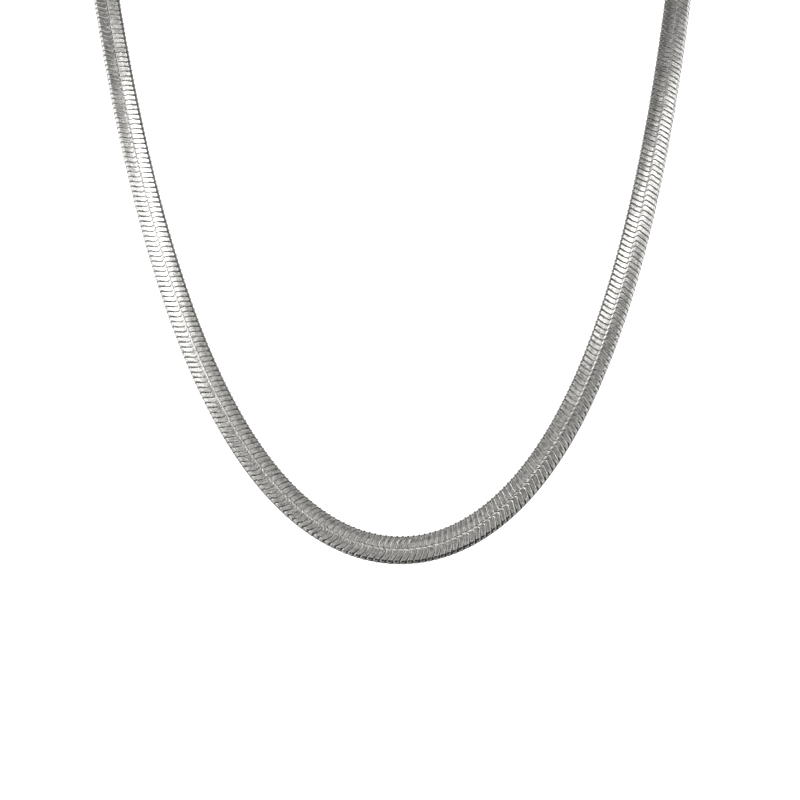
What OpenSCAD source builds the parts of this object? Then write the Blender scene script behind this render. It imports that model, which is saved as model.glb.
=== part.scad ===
// Flat chain necklace, worn: a whole loop of pressed steel links with a plain box clasp at the nape.
// Millimetres. The origin is the middle of the clasp's inner face, where it sits on the nape.
// +Z is up, the front of the necklace hangs towards -Y, and the loop is even about X = 0.

/* [Chain] */
// Width of the flat chain
chain_w = 5; // [3:0.5:8]
// Thickness along the middle of the chain
chain_t = 1.35; // [1:0.05:2]
// Thickness at the two long edges of the chain
edge_t = 1; // [0.7:0.05:1.6]
// Length of chain that one link takes
link_pitch = 1.07; // [1:0.01:4]
// Depth of the step from one link down to the next
step_depth = 0.12; // [0.04:0.01:0.2]

/* [Drape] */
// Radius of the lowest bend, which sets the whole hanging curve
bend_r = 24.2; // [20:0.1:40]
// Length of hanging chain on each side, from the lowest point
front_len = 136; // [110:1:150]
// Lean of the front and of the nape, in degrees from upright
lean = 20; // [5:1:30]
// Depth from the nape to the lowest point
reach = 105; // [95:1:130]
// Height from the lowest point up to the nape
drop = 140; // [130:1:155]
// How far the chain holds its rise where it leaves the front
rise_hold = 40; // [30:1:50]
// How far the chain holds its level run beside the clasp
nape_hold = 50; // [40:1:60]
// Upward tilt of the chain's face at the side of the neck, in degrees
side_tilt = 40; // [20:1:50]

/* [Clasp] */
// Length of the clasp along the chain
clasp_l = 12; // [9:0.5:20]
// Thickness of the clasp
clasp_t = 3; // [2.6:0.1:4]
// Width of the clasp above that of the chain
clasp_extra = 1.6; // [1.2:0.1:3]
// Radius of the clasp's long edges
clasp_edge_r = 0.9; // [0.4:0.1:1.2]
// Radius of the clasp's corners, seen from behind
clasp_corner_r = 1.6; // [0.8:0.1:3]
// Depth that each chain end goes into the clasp
socket_depth = 3; // [2:0.5:4]
// Space left round a chain end in its socket
socket_gap = 0.1; // [0.05:0.05:0.2]
// Space left between a chain end and the bottom of its socket
end_gap = 0.5; // [0.4:0.1:0.8]

/* [Hidden] */

// Shape of the joint line between two links, as shares of one link's length.
// From the inner edge it falls back, jumps forward across the middle, and falls back again.
seam_half = 0.25;
joint_line = [
    // across, forward, half thickness
    [-chain_w / 2, 0.2, edge_t / 2],
    [-seam_half, -0.3, chain_t / 2],
    [seam_half, 0.3, chain_t / 2],
    [chain_w / 2, -0.2, edge_t / 2],
];
// Open share of each link's length, where one link steps down to the next
joint_gap = 0.12;

// Directions of the leaning front and of the nape
up_slope = [0, sin(lean), cos(lean)];
nape_face = [0, cos(lean), sin(lean)];
nape_mid = nape_face * clasp_t / 2;
low_point = [0, -reach, -drop];
hidden_steps = 120;
spare = 2;

function unit(v) = v / norm(v);
function area_sinh(v) = ln(v + sqrt(v * v + 1));
function flip_x(v) = [-v.x, v.y, v.z];
function smooth(v) = v * v * (3 - 2 * v);

// Hanging curve in the leaning front plane, by length of chain from the lowest point
function hang(s) = low_point
    + [bend_r * area_sinh(s / bend_r), 0, 0]
    + up_slope * (sqrt(bend_r * bend_r + s * s) - bend_r);
function hang_way(s) = unit([bend_r, 0, 0] + up_slope * s);

// Bend from the top of the front, over the shoulder, to the side of the clasp
shoulder = hang(front_len);
clasp_side = nape_mid + [clasp_l / 2, 0, 0];
handle_a = shoulder + hang_way(front_len) * rise_hold;
handle_b = clasp_side + [nape_hold, 0, 0];
function over(v) = pow(1 - v, 3) * shoulder
    + 3 * v * pow(1 - v, 2) * handle_a
    + 3 * v * v * (1 - v) * handle_b
    + v * v * v * clasp_side;

// Way that the chain's face looks, turning from the front round the side to the back
function face_at(v) = let (turn = 180 * smooth(v), tilt = lean + (side_tilt - lean) * pow(sin(turn), 2))
    [sin(turn) * cos(tilt), -cos(turn) * cos(tilt), sin(tilt)];

// Middle line of the right half as [point, face], and then of the whole loop from left to right
chain_end = nape_mid + [clasp_l / 2 - socket_depth + end_gap, 0, 0];
right_line = concat(
    [for (s = [0:front_len]) [hang(s), face_at(0)]],
    [for (i = [1:hidden_steps]) [over(i / hidden_steps), face_at(i / hidden_steps)]],
    [[chain_end, face_at(1)], [chain_end - [spare, 0, 0], face_at(1)]]
);
last = len(right_line) - 1;
whole_line = concat(
    [for (i = [last:-1:1]) [flip_x(right_line[i][0]), flip_x(right_line[i][1])]],
    right_line
);

// Frame at each point: the point, the way out from the neck within the band, and the face
function way_at(i) = unit(whole_line[min(i + 1, 2 * last)][0] - whole_line[max(i - 1, 0)][0]);
function frame_at(i) = let (
    way = way_at(i),
    aim = whole_line[i][1],
    face = unit(aim - (aim * way) * way)
) [whole_line[i][0], cross(way, face), face];
frames = [for (i = [0:2 * last]) frame_at(i)];

// The links step evenly along a line between the middle and the inner edge,
// so that a bend opens them towards the outer edge
step_line = [for (f = frames) f[0] - f[1] * chain_w / 4];
lengths = [
    for (i = 0, sum = 0; i <= 2 * last;
        sum = sum + (i < 2 * last ? norm(step_line[i + 1] - step_line[i]) : 0), i = i + 1) sum
];
place_of = [for (i = [0:2 * last]) [lengths[i] - lengths[last], i]];
half_len = lengths[2 * last - 1] - lengths[last];
links = round(half_len / link_pitch);
pitch = half_len / links;

// Point of the band at a length, a way across and a height off the middle
function blend(i, part, k) = frames[i][k] * (1 - part) + frames[i + 1][k] * part;
function band_point(len, across, height) = let (
    place = lookup(len, place_of),
    i = min(floor(place), 2 * last - 1),
    part = place - i
) blend(i, part, 0) + blend(i, part, 1) * across + blend(i, part, 2) * height;

// One ring of the band: the joint line on the face, and back again behind it
spots = len(joint_line);
sides = 2 * spots;
function ring(at, lower) = concat(
    [for (j = joint_line) band_point((at + j[1]) * pitch, j[0], j[2] - lower)],
    [for (k = [1:spots]) let (j = joint_line[spots - k]) band_point((at + j[1]) * pitch, j[0], lower - j[2])]
);

// Band of links, each high where it starts and low where it ends
module links_band(first, count) {
    points = [
        for (i = [first:first + count - 1]) each
            concat(ring(i, 0), ring(i + 1 - joint_gap, step_depth))
    ];
    rings = 2 * count;
    walls = [
        for (r = [0:rings - 2], k = [0:sides - 1]) let (
            a = r * sides + k,
            b = r * sides + (k + 1) % sides
        ) each [[a, b + sides, b], [a, a + sides, b + sides]]
    ];
    end = (rings - 1) * sides;
    // A cap is three pairs of triangles between the face's points and those behind them
    start_cap = [
        for (k = [0:spots - 2]) let (back = sides - 1 - k)
            each [[k, k + 1, back], [k + 1, back - 1, back]]
    ];
    end_cap = [
        for (k = [0:spots - 2]) let (front = end + k, back = end + sides - 1 - k)
            each [[front, back, front + 1], [front + 1, back, back - 1]]
    ];
    polyhedron(points, concat(walls, start_cap, end_cap), convexity = 10);
}

module chain_left() {
    color("lightgray") links_band(-links, links);
}

module chain_right() {
    color("lightgray") links_band(0, links);
}

// Flat bar along X with rounded long edges
module round_bar(l, t, w, r) {
    rotate([90, 0, 90]) translate([0, 0, -l / 2]) linear_extrude(l) round_rect(t, w, r);
}

module round_rect(w, h, r) {
    square([w - 2 * r, h], center = true);
    square([w, h - 2 * r], center = true);
    for (x = [-1, 1], y = [-1, 1])
        translate([x * (w / 2 - r), y * (h / 2 - r)]) circle(r, $fn = 48);
}

// Box clasp with a socket in each end; its inner face lies on the nape
module clasp() {
    w = chain_w + clasp_extra;
    mouth_t = chain_t + 2 * socket_gap;
    mouth_w = chain_w + 2 * socket_gap;
    cut = 1;
    color("silver") rotate([lean, 0, 0]) translate([0, clasp_t / 2, 0]) difference() {
        intersection() {
            round_bar(clasp_l, clasp_t, w, clasp_edge_r);
            rotate([90, 0, 0]) translate([0, 0, -clasp_t]) linear_extrude(2 * clasp_t)
                round_rect(clasp_l, w, clasp_corner_r);
        }
        for (side = [-1, 1])
            translate([side * (clasp_l / 2 - socket_depth / 2 + cut / 2), 0, 0])
                cube([socket_depth + cut, mouth_t, mouth_w], center = true);
    }
}

chain_left();
chain_right();
clasp();
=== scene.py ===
# %% [markdown]
# # A flat steel chain necklace
# The real thing is a round snake chain that has been pressed flat. Each link is a slanted plate that tucks
# under the next one, and each has a short jump across the middle, which makes the seam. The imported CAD
# model holds the size, the hanging curve and the band with its steps. Here the band gets its true links,
# its steel and a studio. The frame comes first, because every piece has to lie where the CAD says.
# %% Load the frame
import math
import random

import bmesh
import bpy
from mathutils import Matrix, Vector


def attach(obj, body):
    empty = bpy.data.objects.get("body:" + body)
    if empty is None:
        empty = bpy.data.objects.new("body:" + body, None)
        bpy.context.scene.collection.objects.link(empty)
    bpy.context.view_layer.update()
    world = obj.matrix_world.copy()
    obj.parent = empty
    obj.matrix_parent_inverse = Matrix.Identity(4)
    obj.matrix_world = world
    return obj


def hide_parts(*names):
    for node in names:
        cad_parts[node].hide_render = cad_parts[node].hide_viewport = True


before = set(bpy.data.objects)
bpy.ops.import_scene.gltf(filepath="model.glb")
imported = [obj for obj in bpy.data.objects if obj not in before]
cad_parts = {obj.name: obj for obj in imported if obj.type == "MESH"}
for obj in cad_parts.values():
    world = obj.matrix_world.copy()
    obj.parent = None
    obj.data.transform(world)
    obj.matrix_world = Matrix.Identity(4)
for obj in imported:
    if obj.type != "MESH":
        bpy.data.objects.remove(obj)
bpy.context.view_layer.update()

print("nodes:", sorted(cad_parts))

# %% [markdown]
# ## The way that the chain hangs
# A hanging chain takes the curve of a catenary. This one hangs in a plane that leans 20 degrees, as on a
# chest, then bends over the shoulders and meets its clasp at the nape. The line could be drawn by eye with
# a curve object, but a formula gives the same line as the CAD source. The sizes are also those of the
# source, in millimetres, so that the links lie on the solids that they replace.
# %% Sizes of the chain and of its drape
# FRONT_LEN is the length of each hanging branch, and RISE_HOLD and NAPE_HOLD are the handles of the bend
# behind it. In the clasp, SOCKET_GAP is left in front of the chain and behind it, and END_GAP at the
# socket's bottom. SPARE carries the line past the chain's end, so that the last link has a way to follow.
CHAIN_W = 5.0
CHAIN_T = 1.35
LINK_PITCH = 1.07
BEND_R = 24.2
FRONT_LEN = 136
LEAN = math.radians(20)
REACH = 105.0
DROP = 140.0
RISE_HOLD = 40.0
NAPE_HOLD = 50.0
SIDE_TILT = math.radians(40)
CLASP_L = 12.0
CLASP_T = 3.0
CLASP_W = CHAIN_W + 1.6
SOCKET_DEPTH = 3.0
SOCKET_GAP = 0.1
END_GAP = 0.5
HIDDEN_STEPS = 120
SPARE = 2.0

up_slope = Vector((0, math.sin(LEAN), math.cos(LEAN)))
nape_face = Vector((0, math.cos(LEAN), math.sin(LEAN)))
nape_mid = nape_face * CLASP_T / 2
low_point = Vector((0, -REACH, -DROP))


def hang(s):
    """Point of the catenary, s millimetres of chain away from its lowest point."""
    side = Vector((BEND_R * math.asinh(s / BEND_R), 0, 0))
    return low_point + side + up_slope * (math.hypot(BEND_R, s) - BEND_R)


def hang_way(s):
    return (Vector((BEND_R, 0, 0)) + up_slope * s).normalized()


print("top of the front, mm:", [round(v, 1) for v in hang(FRONT_LEN)])

# %% [markdown]
# ## Over the shoulder and round to the nape
# The photo is cut above the front, so the rest takes the plain way round: one smooth Bezier bend from the
# top of each branch to the side of the clasp. The chain's face looks forwards in front, outwards at the
# sides and backwards at the nape, so it turns by half a circle along this bend. A curve object could hold
# the bend and its tilt, but stiff links need the place and the face at any length, so both are functions.
# %% The bend and the face along it
shoulder = hang(FRONT_LEN)
clasp_side = nape_mid + Vector((CLASP_L / 2, 0, 0))
handle_a = shoulder + hang_way(FRONT_LEN) * RISE_HOLD
handle_b = clasp_side + Vector((NAPE_HOLD, 0, 0))


def over(v):
    """Cubic Bezier bend from the shoulder to the clasp, for v from 0 to 1."""
    w = 1 - v
    return shoulder * w**3 + handle_a * 3 * v * w**2 + handle_b * 3 * v**2 * w + clasp_side * v**3


def face_at(v):
    turn = math.pi * v * v * (3 - 2 * v)
    tilt = LEAN + (SIDE_TILT - LEAN) * math.sin(turn) ** 2
    return Vector((math.sin(turn) * math.cos(tilt), -math.cos(turn) * math.cos(tilt), math.sin(tilt)))


def flip_x(v):
    return Vector((-v.x, v.y, v.z))


chain_end = nape_mid + Vector((CLASP_L / 2 - SOCKET_DEPTH + END_GAP, 0, 0))
right_line = [(hang(s), face_at(0)) for s in range(FRONT_LEN + 1)]
right_line += [(over(i / HIDDEN_STEPS), face_at(i / HIDDEN_STEPS)) for i in range(1, HIDDEN_STEPS + 1)]
right_line += [(chain_end, face_at(1)), (chain_end - Vector((SPARE, 0, 0)), face_at(1))]
whole_line = [(flip_x(p), flip_x(f)) for p, f in right_line[:0:-1]] + right_line
print("points along the whole loop:", len(whole_line))

# %% [markdown]
# ## A frame at each point, and even steps along it
# A link needs a place and three directions: the way along the chain, the way out from the neck, and the
# way that its face looks. They could step along the middle of the chain, but then the inner edges would
# crowd each other in a bend. So they step evenly along a line between the middle and the inner edge, and
# a bend opens them towards the outer edge, as it does on the real chain.
# %% Frames and steps
middle = len(right_line) - 1


def frame_at(i):
    """Middle point, outward direction and face direction at point i of the loop."""
    point, aim = whole_line[i]
    after = whole_line[min(i + 1, 2 * middle)][0]
    way = (after - whole_line[max(i - 1, 0)][0]).normalized()
    face = (aim - way * aim.dot(way)).normalized()
    return point, way.cross(face), face


frames = [frame_at(i) for i in range(2 * middle + 1)]
step_line = [point - outward * CHAIN_W / 4 for point, outward, face in frames]
lengths = [0.0]
for a, b in zip(step_line, step_line[1:]):
    lengths.append(lengths[-1] + (b - a).length)
lengths = [length - lengths[middle] for length in lengths]
half_len = lengths[2 * middle - 1]
links = round(half_len / LINK_PITCH)
pitch = half_len / links


def place_at(length):
    """Matrix that puts a link at this length from the lowest point: X along, Y outward, Z its face."""
    i = max(k for k in range(2 * middle) if lengths[k] <= length)
    part = (length - lengths[i]) / (lengths[i + 1] - lengths[i])
    point, outward, face = (a.lerp(b, part) for a, b in zip(frames[i], frames[i + 1]))
    face = face.normalized()
    outward = (outward - face * outward.dot(face)).normalized()
    way = face.cross(outward)
    return Matrix((way, outward, face)).transposed().to_4x4(), point


print("links on each side:", links, "pitch in mm:", round(pitch, 4))
print("half of the loop in mm:", round(half_len, 2))
print("middle of the first link in mm:", [round(v, 2) for v in place_at(0.5 * pitch)[1]])

# %% [markdown]
# ## One link
# A link is pressed from thin strip. Seen from the front it is a slanted plate on each side of the seam,
# with the jump between them, its ends are rounded off, and its edges are bevelled where they were
# polished. The outer edge is a wider, steeper bevel that shows the darkness below. A cube could be cut and
# bevelled, but then every link would need its own cuts. So it is made as a ring of points round its
# section, which is extruded four times along the chain. Two short tables give the place of every point.
# %% Shape of a link's section
# Once round the section, from the inner edge over the face to the outer edge and back behind it.
# forward is the shape of the joint line. round_off pulls both of the link's ends towards its middle, and
# bevel pulls the inner lines of its bevels further. These three are shares of the pitch. depth is the
# share of its depth that the groove between two links has there, and the rest is in millimetres.
SECTION = [
    # across, forward, height, round_off, bevel, depth
    (-2.60, 0.17, 0.00, 0.24, 0.05, 1.0),
    (-2.45, 0.15, 0.38, 0.16, 0.05, 1.0),
    (-2.12, 0.08, 0.62, 0.05, 0.04, 1.0),
    (-0.95, -0.27, 0.65, 0.00, 0.00, 1.0),
    (-0.16, -0.34, 0.65, 0.00, 0.00, 0.7),
    (-0.04, -0.22, 0.612, 0.00, 0.00, 0.35),
    (0.20, 0.14, 0.65, 0.00, 0.00, 0.35),
    (0.46, 0.31, 0.65, 0.00, 0.00, 0.7),
    (0.80, 0.22, 0.65, 0.00, 0.00, 1.0),
    (2.08, -0.31, 0.64, 0.04, 0.05, 1.0),
    (2.30, -0.39, 0.51, 0.08, 0.06, 0.65),
    (2.48, -0.46, 0.30, 0.08, 0.05, 0.5),
    (2.82, -0.56, -0.28, 0.04, 0.04, 0.5),
    (2.76, -0.55, -0.47, 0.06, 0.04, 0.6),
    (2.25, -0.42, -0.64, 0.04, 0.04, 1.0),
    (0.46, 0.31, -0.65, 0.00, 0.00, 0.7),
    (-0.30, -0.35, -0.65, 0.00, 0.00, 0.7),
    (-2.12, 0.08, -0.62, 0.02, 0.04, 1.0),
]
# Places across the section where the steel folds sharply.
SHARP_AT = (-2.12, -0.16, -0.04, 0.20, 2.08, 2.82)
print("points round a section:", len(SECTION))

# %% Rings of a link
# From the foot of its first edge to the foot of the edge that tucks under the next link. The first edge
# has the deeper bevel, which catches the light, and the last one is only rounded over. FACE_RING is the
# first ring of the flat face.
# along is a share of the pitch; lowered and drawn_in (from the long edges) are in millimetres.
RINGS = [
    # along, lowered, drawn_in, bevelled
    (0.00, 0.16, 0.12, 0),
    (0.02, 0.10, 0.09, 0),
    (0.14, 0.00, 0.00, 1),
    (0.84, 0.00, 0.00, 1),
    (0.96, 0.05, 0.08, 0),
]
FACE_RING = 2
# Twist of a link for each millimetre out from the seam: its two ends tip opposite ways.
TWIST = math.radians(1.35)
# The ends are drawn in only in this zone out from the seam, more at the inner edge than at the outer one.
EDGE_ZONE = (2.1, 2.7)
INNER_DRAW, OUTER_DRAW = 1.6, 0.4
print("rings:", len(RINGS), "faces of a link with its groove:", len(SECTION) * len(RINGS))


# %% Helpers that put things into the scene
def mesh_of(bm, name):
    """Turns a finished bmesh into a mesh."""
    mesh = bpy.data.meshes.new(name)
    bm.to_mesh(mesh)
    bm.free()
    return mesh


def in_scene(name, data):
    """Puts a mesh, a lamp or a camera into the scene as an object."""
    thing = bpy.data.objects.new(name, data)
    bpy.context.scene.collection.objects.link(thing)
    return thing


def new_points(made):
    return [g for g in made if isinstance(g, bmesh.types.BMVert)]


def new_edges(made):
    return [g for g in made if isinstance(g, bmesh.types.BMEdge)]


print("helpers:", ", ".join(f.__name__ for f in (mesh_of, in_scene, new_points, new_edges)))


# %% Place of each point of a link
def link_point(station, ring):
    """Place of a point of the link, in millimetres from the link's middle."""
    across, forward, height, round_off, bevel, depth = SECTION[station]
    along, lowered, drawn_in, bevelled = RINGS[ring]
    lowered *= depth
    pull = round_off + bevel * bevelled
    x = (along - 0.5 + forward + (pull if along < 0.5 else -pull)) * pitch
    rise = math.tan(TWIST) * (along - 0.5) * pitch * across
    near_edge = EDGE_ZONE[0] < abs(across) < EDGE_ZONE[1]
    drawn_in *= INNER_DRAW if across < 0 else OUTER_DRAW
    y = across - (math.copysign(drawn_in, across) if near_edge else 0)
    return Vector((x, y, height + math.copysign(1, height) * (rise - lowered)))


def make_link():
    """One link as an open bmesh tube, with each point's station and ring kept in layers."""
    bm = bmesh.new()
    station = bm.verts.layers.int.new("station")
    ring = bm.verts.layers.int.new("ring")
    start = bmesh.ops.create_circle(bm, cap_ends=False, segments=len(SECTION), radius=1.0)
    for n, vert in enumerate(start["verts"]):
        vert[station] = n
        vert.co = link_point(n, 0)
    edges = bm.edges[:]
    for r in range(1, len(RINGS)):
        made = bmesh.ops.extrude_edge_only(bm, edges=edges)["geom"]
        edges = new_edges(made)
        for vert in new_points(made):
            vert[ring] = r
            vert.co = link_point(vert[station], r)
    return mesh_of(bm, "one_link")


one_link = make_link()
print("one link:", len(one_link.vertices), "points,", len(one_link.polygons), "faces")

# %% [markdown]
# ## The two halves of the chain
# An Array and a Curve modifier could carry the link along the loop, but they would bend each link, and
# steel links stay stiff. So the link is copied to each step, rigid, with the slight unevenness of pressed
# links, and each end ring is bridged to the next link's foot, which closes the groove between them. Each
# half is one closed body. The copies also get a UV map: round the link in U, in millimetres, and along the
# chain in V, one unit a link, for the patterns of the steel.
# %% Way round a link
U_OF_STATION = [0.0]
for n in range(len(SECTION)):
    a, b = link_point(n, FACE_RING), link_point((n + 1) % len(SECTION), FACE_RING)
    U_OF_STATION.append(U_OF_STATION[-1] + math.hypot(a.y - b.y, a.z - b.z))
AROUND = U_OF_STATION[-1]
print("once round a link in mm:", round(AROUND, 2))

# %% Place of each link
# Unevenness of the links in degrees, their slant in the lowest bend, and how far the last foot of a half
# is set back in millimetres.
SHAKE = 0.35
SLANT = math.radians(9)
END_SPACE = 0.015


def link_place(i, shake, is_end):
    """Matrix that lays link i on the loop, slanted as its bend asks and slightly uneven."""
    turn, spot = place_at((i + 0.5) * pitch)
    slant = Matrix.Rotation(SLANT * BEND_R**2 / (BEND_R**2 + (i * pitch) ** 2), 4, "Z")
    sway = Matrix.Rotation(math.radians(shake.uniform(-SHAKE, SHAKE)), 4, "X")
    nod = Matrix.Rotation(math.radians(shake.uniform(-SHAKE, SHAKE)), 4, "Y")
    own = slant @ Matrix.Translation((-END_SPACE, 0, 0)) if is_end else slant @ sway @ nod
    return Matrix.Translation(spot) @ turn @ own


print("unevenness of the links in degrees:", SHAKE)


# %% Lay the links and bridge the grooves
def ring_edges(verts):
    """Edges that have both of their ends among these points."""
    chosen = set(verts)
    return [e for e in {e for v in verts for e in v.link_edges} if set(e.verts) <= chosen]


def lay_links(bm, shake, first, count):
    """Copies the link to its steps. The foot of one link more closes the end."""
    ring = bm.verts.layers.int["ring"]
    along = bm.verts.layers.float["along"]
    last_ring = None
    for i in range(first, first + count + 1):
        is_end = i == first + count
        before = len(bm.verts)
        bm.from_mesh(one_link)
        bm.verts.ensure_lookup_table()
        verts = bm.verts[before:]
        bmesh.ops.transform(bm, matrix=link_place(i, shake, is_end), verts=verts)
        if is_end:
            spare = [v for v in verts if v[ring] > 0]
            bmesh.ops.delete(bm, geom=spare, context="VERTS")
            verts = [v for v in verts if v.is_valid]
        for v in verts:
            v[along] = i + RINGS[v[ring]][0]
        first_ring = [v for v in verts if v[ring] == 0]
        if last_ring:
            bmesh.ops.bridge_loops(bm, edges=ring_edges(last_ring) + ring_edges(first_ring))
        last_ring = [v for v in verts if v[ring] == len(RINGS) - 1]
    bmesh.ops.holes_fill(bm, edges=[e for e in bm.edges if e.is_boundary], sides=0)
    bmesh.ops.recalc_face_normals(bm, faces=bm.faces[:])


print("links to lay on each half:", links)


# %% Map the links and mark the folds
def map_links(bm, first):
    """UV map along the chain, smooth faces, and sharp edges where the steel folds."""
    station = bm.verts.layers.int["station"]
    ring = bm.verts.layers.int["ring"]
    along = bm.verts.layers.float["along"]
    uv = bm.loops.layers.uv.new("along_chain")
    for face in bm.faces:
        wraps = max(v[station] for v in face.verts) - min(v[station] for v in face.verts) > 1
        face.smooth = True
        for loop in face.loops:
            n = loop.vert[station]
            n = len(SECTION) if wraps and n == 0 else n
            loop[uv].uv = (U_OF_STATION[n], loop.vert[along] - first)
    for edge in bm.edges:
        a, b = edge.verts
        crosses = a[ring] == b[ring] >= FACE_RING
        follows = a[station] == b[station] and SECTION[a[station]][0] in SHARP_AT
        edge.smooth = not (crosses or follows)


print("sharp folds along the chain lie at, in mm:", SHARP_AT)

# %% Both halves
MM = 0.001


def chain_half(name, first, count):
    """Half of the chain as one closed body, in metres."""
    bm = bmesh.new()
    bm.verts.layers.int.new("station")
    bm.verts.layers.int.new("ring")
    bm.verts.layers.float.new("along")
    lay_links(bm, random.Random(name), first, count)
    map_links(bm, first)
    bmesh.ops.transform(bm, matrix=Matrix.Scale(MM, 4), verts=bm.verts[:])
    return in_scene(name, mesh_of(bm, name))


halves = {
    "chain_left": chain_half("links_left", -links, links),
    "chain_right": chain_half("links_right", 0, links),
}
for node, piece in halves.items():
    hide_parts(node)
    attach(piece, "root")
    print(piece.name, "has", len(piece.data.polygons), "faces")

# %% [markdown]
# ## Satin steel of the links
# The faces are satin with fine scratches. The edges and ends are brighter, partly polished by wear and
# partly a painted highlight; painted shade darkens the groove between two links and the inner and outer
# edges, and a painted highlight brightens the face beside the seam. The photo could be projected on the
# chain, but it would hold one day's light and leave the back bare. So the steel is made of noise and of
# ramps over the links' own UV map: a ramp says how much painted shade, painted highlight or polish the
# steel has at each place round a link, or along it. The grain is a node group, because the clasp uses it
# too.
# %% Node helpers and the shared grain
def socket(tree, name, kind, direction):
    return tree.interface.new_socket(name=name, in_out=direction, socket_type=kind)


def put(tree, kind, **settings):
    """Adds a node with these settings."""
    node = tree.nodes.new(kind)
    for name, given in settings.items():
        setattr(node, name, given)
    return node


def spread(tree, source, low, high, start, end, smooth=False):
    """Maps a value from low..high to start..end, and holds it beyond them."""
    node = put(tree, "ShaderNodeMapRange")
    if smooth:
        node.interpolation_type = "SMOOTHSTEP"
    for name, given in (("From Min", low), ("From Max", high), ("To Min", start), ("To Max", end)):
        node.inputs[name].default_value = given
    tree.links.new(source, node.inputs["Value"])
    return node.outputs[0]


BROAD_GRAIN = 0.12
NOISE_SPAN = (0.3, 0.7)
GRAIN_DETAIL = 3


def grain_group():
    tree = bpy.data.node_groups.new("steel_grain", "ShaderNodeTree")
    socket(tree, "Place", "NodeSocketVector", "INPUT")
    socket(tree, "Fineness", "NodeSocketFloat", "INPUT")
    socket(tree, "Tone", "NodeSocketFloat", "OUTPUT")
    socket(tree, "Rough", "NodeSocketFloat", "OUTPUT")
    start, end = put(tree, "NodeGroupInput"), put(tree, "NodeGroupOutput")
    fine, broad = (put(tree, "ShaderNodeTexNoise") for _ in range(2))
    coarser = put(tree, "ShaderNodeMath", operation="MULTIPLY")
    coarser.inputs[1].default_value = BROAD_GRAIN
    wires = tree.links
    for noise in (fine, broad):
        wires.new(start.outputs["Place"], noise.inputs["Vector"])
    wires.new(start.outputs["Fineness"], fine.inputs["Scale"])
    wires.new(start.outputs["Fineness"], coarser.inputs[0])
    wires.new(coarser.outputs[0], broad.inputs["Scale"])
    fine.inputs["Detail"].default_value = GRAIN_DETAIL
    wires.new(spread(tree, fine.outputs["Fac"], *NOISE_SPAN, 0, 1), end.inputs["Tone"])
    wires.new(spread(tree, broad.outputs["Fac"], *NOISE_SPAN, 0, 1), end.inputs["Rough"])
    return tree


steel_grain = grain_group()
print("nodes of the grain:", len(steel_grain.nodes))


# %% Helpers for materials
def bare_material(name):
    """New material, its node tree and its Principled shader."""
    material = bpy.data.materials.new(name)
    material.use_nodes = True
    return material, material.node_tree, material.node_tree.nodes["Principled BSDF"]


def tone_and_painted_light_ramp(tree, source, stops):
    """Black and white ramp over a value, for the steel's tone, its polish, or painted shade and highlight;
    stops are (place, shade).
    """
    ramp = put(tree, "ShaderNodeValToRGB")
    tree.links.new(source, ramp.inputs["Fac"])
    points = ramp.color_ramp.elements
    while len(points) < len(stops):
        points.new(0.5)
    for point, (place, shade) in zip(points, stops):
        point.position = place
        point.color = (shade, shade, shade, 1)
    return ramp.outputs["Color"]


def mix(tree, mode, fac, a, b):
    node = put(tree, "ShaderNodeMix", data_type="RGBA", blend_type=mode, clamp_result=True)
    for name, given in (("Factor", fac), ("A", a), ("B", b)):
        spot = next(i for i in node.inputs if i.name == name and i.enabled)
        if isinstance(given, bpy.types.NodeSocket):
            tree.links.new(given, spot)
        else:
            spot.default_value = given
    return next(o for o in node.outputs if o.enabled)


def value(tree, kind, a, b):
    """Math node with two inputs, each a number or a socket."""
    node = put(tree, "ShaderNodeMath", operation=kind)
    for spot, given in zip(node.inputs, (a, b)):
        if isinstance(given, bpy.types.NodeSocket):
            tree.links.new(given, spot)
        else:
            spot.default_value = given
    return node.outputs[0]


print("helpers:", ", ".join(f.__name__ for f in (bare_material, tone_and_painted_light_ramp, mix, value)))

# %% Where the links carry painted shade, are satin, or are polished and carry a painted highlight
SATIN = (0.61, 0.60, 0.58, 1)
# Brighter steel of the polished edges and ends, partly a painted highlight.
POLISH_AND_HIGHLIGHT = (0.92, 0.91, 0.89, 1)
GRAIN_FINENESS = 3600
GRAIN_TONE = [(0, 0.66), (1, 1.2)]
SCRATCH_STRETCH = (1.0, 3.4, 1)
SCRATCH_DETAIL = 2
SCRATCH_DEPTH = 0.000002
SCRATCH_TONE = [(0.32, 0.6), (0.68, 1.32)]
ROUGHNESS = (0.15, 0.24)
# Along one link, from one groove to the next: the painted shade in the groove, and where the steel is
# polished and carries a painted highlight.
GROOVE_PAINTED_SHADE = [(0, 0.12), (0.015, 0.45), (0.025, 1), (0.955, 1), (0.97, 0.4), (1, 0.12)]
END_POLISH_AND_HIGHLIGHT = [(0, 1), (0.14, 1), (0.17, 0), (0.80, 0), (0.83, 1), (1, 1)]


def at_station(n):
    """Place of a station of the section on a ramp that goes once round it."""
    return U_OF_STATION[n] / AROUND


print("places of the stations:", [round(at_station(n), 3) for n in range(len(SECTION))])

# %% Painted shade, painted highlight and polish once round a link
# Painted shade at the inner and outer edges and a painted highlight on the face beside the seam; how much
# of the painted shade in the groove shows; how strong the polish and painted highlight of the link's two
# ends are; and where the long edges are polished and carry a painted highlight.
EDGE_PAINTED_SHADE_AND_HIGHLIGHT = [
    (0, 0.35), (at_station(1), 0.45), (at_station(2) - 0.01, 0.5), (at_station(2) + 0.006, 1),
    (at_station(3) - 0.03, 1), (at_station(3), 1.3), (at_station(4) - 0.02, 1.45),
    (at_station(4) - 0.004, 1.4), (at_station(4), 1),
    (at_station(11), 1), (at_station(11) + 0.01, 0.6), (at_station(13), 0.45),
    (at_station(14), 1), (at_station(17), 1), (1, 0.35),
]
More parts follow.
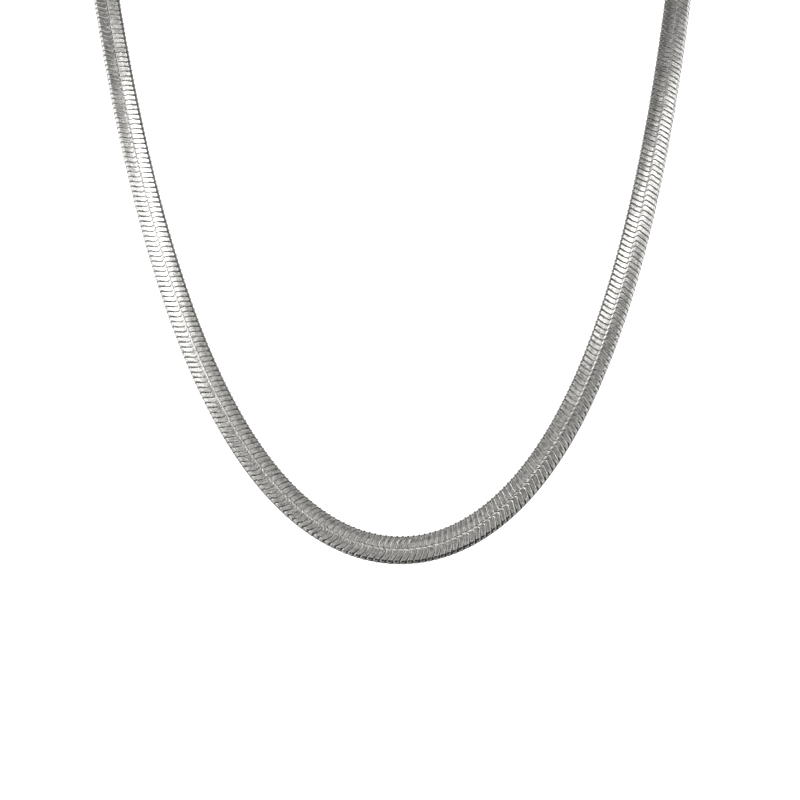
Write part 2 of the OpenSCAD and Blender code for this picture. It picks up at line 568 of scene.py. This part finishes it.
# How much of the painted shade in the groove shows, round the link.
GROOVE_PAINTED_SHADE_SHARE = [
    (0, 1), (at_station(4) - 0.02, 1), (at_station(5), 0.35), (at_station(6), 0.35),
    (at_station(7) + 0.02, 1), (at_station(11), 1), (at_station(12), 0.4), (at_station(13), 0.4),
    (at_station(14), 1), (1, 1),
]
JOINT_SHINE = [
    (0, 0.35), (at_station(4), 0.35), (at_station(7), 1), (at_station(13), 1),
    (at_station(14), 0.5), (1, 0.35),
]
EDGE_SHINE = [
    (0, 0), (at_station(2), 0), (at_station(2) + 0.005, 1), (at_station(2) + 0.015, 0),
    (at_station(9) - 0.015, 0), (at_station(9), 1), (at_station(12), 1), (at_station(13), 0), (1, 0),
]
print("stops round a link:", len(EDGE_PAINTED_SHADE_AND_HIGHLIGHT), len(GROOVE_PAINTED_SHADE_SHARE), len(JOINT_SHINE), len(EDGE_SHINE))


# %% Steel of the links
def link_steel():
    material, tree, shader = bare_material("chain_steel")
    grain = put(tree, "ShaderNodeGroup", node_tree=steel_grain)
    grain.inputs["Fineness"].default_value = GRAIN_FINENESS
    spot = put(tree, "ShaderNodeTexCoord")
    tree.links.new(spot.outputs["Object"], grain.inputs["Place"])
    uv = put(tree, "ShaderNodeUVMap", uv_map="along_chain")
    parts = put(tree, "ShaderNodeSeparateXYZ")
    tree.links.new(uv.outputs[0], parts.inputs[0])
    share = put(tree, "ShaderNodeMath", operation="FRACT")
    tree.links.new(parts.outputs["Y"], share.inputs[0])
    around = value(tree, "DIVIDE", parts.outputs["X"], AROUND)

    stretch = put(tree, "ShaderNodeVectorMath", operation="MULTIPLY")
    stretch.inputs[1].default_value = SCRATCH_STRETCH
    streaks = put(tree, "ShaderNodeTexNoise")
    streaks.inputs["Scale"].default_value = 1.0
    streaks.inputs["Detail"].default_value = SCRATCH_DETAIL
    tree.links.new(uv.outputs[0], stretch.inputs[0])
    tree.links.new(stretch.outputs[0], streaks.inputs["Vector"])

    # Painted shade in the groove between two links.
    groove = tone_and_painted_light_ramp(tree, share.outputs[0], GROOVE_PAINTED_SHADE)
    # Painted shade at the inner and outer edges, painted highlight on the face beside the seam.
    edges = tone_and_painted_light_ramp(tree, around, EDGE_PAINTED_SHADE_AND_HIGHLIGHT)
    deep = tone_and_painted_light_ramp(tree, around, GROOVE_PAINTED_SHADE_SHARE)
    # Polish of the link's ends and long edges, partly a painted highlight.
    shine_along = tone_and_painted_light_ramp(tree, share.outputs[0], END_POLISH_AND_HIGHLIGHT)
    shine_across = tone_and_painted_light_ramp(tree, around, EDGE_SHINE)
    shine_along = value(tree, "MULTIPLY", shine_along, tone_and_painted_light_ramp(tree, around, JOINT_SHINE))
    shine = value(tree, "MAXIMUM", shine_along, shine_across)
    brushed = tone_and_painted_light_ramp(tree, streaks.outputs["Fac"], SCRATCH_TONE)
    tone = tone_and_painted_light_ramp(tree, grain.outputs["Tone"], GRAIN_TONE)
    color = mix(tree, "MIX", shine, SATIN, POLISH_AND_HIGHLIGHT)
    for shade, depth in ((tone, 1.0), (brushed, 1.0), (groove, deep), (edges, 1.0)):
        color = mix(tree, "MULTIPLY", depth, color, shade)
    tree.links.new(color, shader.inputs["Base Color"])
    rough = spread(tree, grain.outputs["Rough"], 0, 1, *ROUGHNESS)
    tree.links.new(rough, shader.inputs["Roughness"])
    bump = put(tree, "ShaderNodeBump")
    bump.inputs["Strength"].default_value = 1.0
    bump.inputs["Distance"].default_value = SCRATCH_DEPTH
    tree.links.new(streaks.outputs["Fac"], bump.inputs["Height"])
    tree.links.new(bump.outputs[0], shader.inputs["Normal"])
    shader.inputs["Metallic"].default_value = 1.0
    return material


chain_steel = link_steel()
for piece in halves.values():
    piece.data.materials.append(chain_steel)
print("nodes of the links' steel:", len(chain_steel.node_tree.nodes))

# %% [markdown]
# ## The clasp
# The photo doesn't show the clasp, but a loop needs one. A plain box clasp is pressed from sheet: a long
# rounded box, open at both ends, that takes an end of the chain in each mouth. It could be extruded from
# one outline, but then only the edges along it would be round. So two rounded bars crossed at right
# angles give its outside, two plain boxes cut the mouths, and a fine bevel softens every edge. Its steel
# is brushed along its length.
# %% Clasp box
# The bar that rounds the corners is thicker than the box by CUT_SPARE. Edges that fold by more than
# FOLD_ANGLE get the fine bevel. An edge that goes along the bar for over NEARLY_ALONG of its length is one
# of its four long edges.
CLASP_EDGE_R = 0.9
CLASP_CORNER_R = 1.6
MOUTH_W = CHAIN_W + 0.8
MOUTH_T = CHAIN_T + 2 * SOCKET_GAP
EDGE_SOFTENING = 0.12
ROUND_STEPS = 6
SOFT_STEPS = 2
CUT_SPARE = 1.0
FOLD_ANGLE = math.radians(40)
NEARLY_ALONG = 0.9


def rounded_bar(name, size, radius, axis):
    """Box in millimetres whose four edges along one axis are rounded; a radius of 0 leaves it sharp."""
    bm = bmesh.new()
    bmesh.ops.create_cube(bm, size=1.0)
    bmesh.ops.scale(bm, vec=Vector(size), verts=bm.verts[:])
    if radius:
        ways = {e: (e.verts[0].co - e.verts[1].co).normalized() for e in bm.edges}
        runs = [e for e in bm.edges if abs(ways[e][axis]) > NEARLY_ALONG]
        shape = {"segments": ROUND_STEPS, "profile": 0.5, "affect": "EDGES", "material": -1}
        bmesh.ops.bevel(bm, geom=runs, offset=radius, **shape)
    return in_scene(name, mesh_of(bm, name))


def clasp_box():
    box = rounded_bar("clasp_box", (CLASP_L, CLASP_T, CLASP_W), CLASP_EDGE_R, 0)
    corners = rounded_bar("corners", (CLASP_L, CLASP_T + CUT_SPARE, CLASP_W), CLASP_CORNER_R, 1)
    tools = [("INTERSECT", corners)]
    for side in (-1, 1):
        mouth = rounded_bar("mouth", (2 * SOCKET_DEPTH, MOUTH_T, MOUTH_W), 0, 0)
        mouth.data.transform(Matrix.Translation((side * CLASP_L / 2, 0, 0)))
        tools.append(("DIFFERENCE", mouth))
    for kind, tool in tools:
        cut = box.modifiers.new(kind.lower(), "BOOLEAN")
        cut.operation, cut.object, cut.solver = kind, tool, "EXACT"
    soften = box.modifiers.new("soft_edges", "BEVEL")
    soften.width, soften.segments = EDGE_SOFTENING, SOFT_STEPS
    soften.limit_method, soften.angle_limit = "ANGLE", FOLD_ANGLE
    ready = box.evaluated_get(bpy.context.evaluated_depsgraph_get())
    mesh = bpy.data.meshes.new_from_object(ready)
    box.modifiers.clear()
    for _, tool in tools:
        bpy.data.objects.remove(tool)
    turn = Matrix.Rotation(LEAN, 4, "X")
    mesh.transform(Matrix.Scale(MM, 4) @ Matrix.Translation(nape_mid) @ turn)
    mesh.shade_smooth()
    mesh.set_sharp_from_angle(angle=FOLD_ANGLE)
    box.data = mesh
    return box


clasp = clasp_box()
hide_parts("clasp")
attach(clasp, "root")
print("clasp faces:", len(clasp.data.polygons))


# %% Brushed steel of the clasp
CLASP_COLOR = (0.7, 0.69, 0.67, 1)
CLASP_TONE = [(0, 0.8), (1, 1)]
CLASP_BRUSHING = (0.06, 1, 1)
CLASP_FINENESS = 6000
CLASP_ROUGHNESS = (0.22, 0.36)


def brushed_clasp():
    material, tree, shader = bare_material("clasp_steel")
    spot = put(tree, "ShaderNodeTexCoord")
    brushing = put(tree, "ShaderNodeVectorMath", operation="MULTIPLY")
    brushing.inputs[1].default_value = CLASP_BRUSHING
    grain = put(tree, "ShaderNodeGroup", node_tree=steel_grain)
    grain.inputs["Fineness"].default_value = CLASP_FINENESS
    tree.links.new(spot.outputs["Object"], brushing.inputs[0])
    tree.links.new(brushing.outputs[0], grain.inputs["Place"])
    tone = tone_and_painted_light_ramp(tree, grain.outputs["Tone"], CLASP_TONE)
    color = mix(tree, "MULTIPLY", 1.0, CLASP_COLOR, tone)
    tree.links.new(color, shader.inputs["Base Color"])
    rough = spread(tree, grain.outputs["Rough"], 0, 1, *CLASP_ROUGHNESS)
    tree.links.new(rough, shader.inputs["Roughness"])
    shader.inputs["Metallic"].default_value = 1.0
    return material


clasp.data.materials.clear()
clasp.data.materials.append(brushed_clasp())
print("steel of the clasp:", clasp.data.materials[0].name)

# %% [markdown]
# ## Studio
# Polished steel shows the room more than itself, so the room is part of the look. A picture of a studio
# could light it, but nothing is read from disk here, and the bright bands of the chain need their own
# places. So a pale paper sweep hangs behind, two softboxes light the upper branches, a dark card that only
# the steel sees gives the under-edges their black line, and the world is dim in front, where the
# photographer stood, and brighter at the sides. The floor and the world look plain and pale to the camera.
# %% Floor and backdrop
FLOOR_Z = -0.75
WALL_Y = 0.55
SWEEP_HALF = 1.8
SWEEP_FRONT = -1.6
SWEEP_BEND = 0.08
SWEEP_TALL = 1.6
SWEEP_STEPS = 12


def paper_sweep():
    """Strip of paper that lies on the floor and bends up behind the chain."""
    bm = bmesh.new()
    start = [bm.verts.new((x, SWEEP_FRONT, FLOOR_Z)) for x in (-SWEEP_HALF, SWEEP_HALF)]
    edge = bm.edges.new(start)
    made = bmesh.ops.extrude_edge_only(bm, edges=[edge])["geom"]
    floor_run = Vector((0, WALL_Y - SWEEP_BEND - SWEEP_FRONT, 0))
    bmesh.ops.translate(bm, vec=floor_run, verts=new_points(made))
    corner = Vector((0, WALL_Y - SWEEP_BEND, FLOOR_Z + SWEEP_BEND))
    bend = {"cent": corner, "axis": (1, 0, 0), "angle": math.pi / 2, "steps": SWEEP_STEPS}
    spun = bmesh.ops.spin(bm, geom=new_edges(made), use_merge=False, **bend)["geom_last"]
    made = bmesh.ops.extrude_edge_only(bm, edges=new_edges(spun))["geom"]
    bmesh.ops.translate(bm, vec=Vector((0, 0, SWEEP_TALL)), verts=new_points(made))
    for face in bm.faces:
        face.smooth = True
    return in_scene("paper_sweep", mesh_of(bm, "paper_sweep"))


sweep = paper_sweep()
print("sweep faces:", len(sweep.data.polygons))


# %% Pale paper
PAPER = (0.8, 0.8, 0.785, 1)
PAPER_GLOW = (1, 1, 0.995, 1)
PAPER_ROUGHNESS = 0.9
# The glow is full from this height upwards. The floor is lifted by this much, for the camera alone.
GLOW_FROM = -0.62
FLOOR_LIFT = 0.42


def pale_paper():
    """White paper that glows where it stands upright, as the lit backdrop of a product photo does."""
    material, tree, shader = bare_material("pale_paper")
    spot, parts = put(tree, "ShaderNodeTexCoord"), put(tree, "ShaderNodeSeparateXYZ")
    seen = put(tree, "ShaderNodeLightPath")
    tree.links.new(spot.outputs["Object"], parts.inputs[0])
    glow = spread(tree, parts.outputs["Z"], FLOOR_Z, GLOW_FROM, 0.0, 1.0)
    lift = value(tree, "MULTIPLY", seen.outputs["Is Camera Ray"], FLOOR_LIFT)
    tree.links.new(value(tree, "MAXIMUM", glow, lift), shader.inputs["Emission Strength"])
    shader.inputs["Emission Color"].default_value = PAPER_GLOW
    shader.inputs["Base Color"].default_value = PAPER
    shader.inputs["Roughness"].default_value = PAPER_ROUGHNESS
    return material


sweep.data.materials.append(pale_paper())
print("paper of the sweep:", sweep.data.materials[0].name)


# %% Dark card
CARD_SIZE = (0.9, 0.88)
CARD_AT = (0, -0.54, -0.55)
FELT = (0.045, 0.045, 0.044, 1)


def dark_card():
    """Card in front of and below the chain, which only the steel sees, for dark lower edges."""
    bm = bmesh.new()
    bmesh.ops.create_grid(bm, x_segments=1, y_segments=1, size=0.5)
    bmesh.ops.scale(bm, vec=Vector((*CARD_SIZE, 1)), verts=bm.verts[:])
    bmesh.ops.translate(bm, vec=Vector(CARD_AT), verts=bm.verts[:])
    card = in_scene("dark_card", mesh_of(bm, "dark_card"))
    card.visible_camera = card.visible_diffuse = card.visible_shadow = False
    felt, _, shader = bare_material("black_felt")
    shader.inputs["Base Color"].default_value = FELT
    shader.inputs["Roughness"].default_value = 1.0
    card.data.materials.append(felt)
    return card


print("card hidden from the camera:", not dark_card().visible_camera)

# %% Softboxes
AIM = Vector((0, -0.08, -0.08))
SOFTBOXES = [
    # name, place, size, power
    ("front_softbox", (0, -0.76, 0.505), (1.3, 0.13), 1.35),
    ("left_softbox", (-0.5, -0.65, 0.49), (0.6, 0.24), 0.95),
]


def soft_light(name, place, size, power):
    light = bpy.data.lights.new(name, "AREA")
    light.shape = "RECTANGLE"
    light.size, light.size_y = size
    light.energy = power
    lamp = in_scene(name, light)
    lamp.location = place
    lamp.rotation_euler = (AIM - Vector(place)).to_track_quat("-Z", "Y").to_euler()
    return lamp


for name, place, size, power in SOFTBOXES:
    print(soft_light(name, place, size, power).name, "of", size, "metres")

# %% The room around
# FRONT_WAY points from the dim front into the scene. FRONT_IS_DIM goes by how far a direction on the
# compass agrees with it: low, high, at_low, at_high, smooth.
FRONT_WAY = (0.24, 0.97, 0)
FRONT_IS_DIM = (-0.76, -0.5, 0.38, 1.15, True)
ROOM_COLOR = (1, 0.99, 0.98, 1)
ROOM_SHADES = [
    # axis (x and y on the compass, z upwards), low, high, at_low, at_high, smooth
    ("x", 0.35, 0.6, 1.0, 0.8, False),
    ("x", -0.22, 0.16, 1.5, 0.85, False),
    ("x", -0.6, -0.35, 0.62, 1.0, False),
    ("z", -0.33, -0.12, 0.2, 1.0, True),
    ("z", 0.5, 0.9, 1.0, 0.45, True),
]


def studio_world():
    """Room whose light depends on its direction. The camera itself sees plain white."""
    world = bpy.data.worlds.new("studio")
    bpy.context.scene.world = world
    world.use_nodes = True
    tree = world.node_tree
    wires = tree.links
    place = put(tree, "ShaderNodeTexCoord")
    parts, facing = (put(tree, "ShaderNodeSeparateXYZ") for _ in range(2))
    level = put(tree, "ShaderNodeVectorMath", operation="MULTIPLY")
    level.inputs[1].default_value = (1, 1, 0)
    compass = put(tree, "ShaderNodeVectorMath", operation="NORMALIZE")
    wires.new(place.outputs["Generated"], parts.inputs[0])
    wires.new(place.outputs["Generated"], level.inputs[0])
    wires.new(level.outputs[0], compass.inputs[0])
    wires.new(compass.outputs[0], facing.inputs[0])
    aside = put(tree, "ShaderNodeVectorMath", operation="DOT_PRODUCT")
    aside.inputs[1].default_value = FRONT_WAY
    wires.new(compass.outputs[0], aside.inputs[0])
    strength = spread(tree, aside.outputs["Value"], *FRONT_IS_DIM)
    for axis, *steps in ROOM_SHADES:
        side = (parts if axis == "z" else facing).outputs[axis.upper()]
        strength = value(tree, "MULTIPLY", strength, spread(tree, side, *steps))
    seen = put(tree, "ShaderNodeLightPath")
    strength = value(tree, "MAXIMUM", strength, seen.outputs["Is Camera Ray"])
    background = tree.nodes["Background"]
    wires.new(strength, background.inputs["Strength"])
    background.inputs["Color"].default_value = ROOM_COLOR
    return tree


print("nodes of the room:", len(studio_world().nodes))
bpy.context.scene.view_settings.view_transform = "Standard"

# %% [markdown]
# ## Camera
# The photo was taken from near, level with the middle of the hanging branches, and looks slightly down. A
# camera could be turned by hand in the viewport, or aimed by a constraint, but this one also rolls a
# little, as a hand-held one does. So it is built from its place and its three directions, which were found
# by setting the edges of the drawn chain against those in the photo.
# %% Camera of the photograph
LENS, SENSOR = 45, 36
NEAREST = 0.01
CAMERA_AT = Vector((0.00372, -0.28224, -0.08128))
PITCH, YAW, ROLL = (math.radians(v) for v in (-9.825, -1.144, -1.559))


def aim_camera():
    data = bpy.data.cameras.new("camera")
    data.lens, data.sensor_width = LENS, SENSOR
    data.clip_start = NEAREST
    camera = in_scene("camera", data)
    look = Vector((math.sin(YAW) * math.cos(PITCH), math.cos(YAW) * math.cos(PITCH), math.sin(PITCH)))
    level = look.cross(Vector((0, 0, 1))).normalized()
    above = level.cross(look)
    right = level * math.cos(ROLL) + above * math.sin(ROLL)
    up = above * math.cos(ROLL) - level * math.sin(ROLL)
    turn = Matrix((right, up, -look)).transposed().to_4x4()
    camera.matrix_world = Matrix.Translation(CAMERA_AT) @ turn
    return camera


bpy.context.scene.camera = aim_camera()
print("camera at", [round(v, 4) for v in CAMERA_AT])
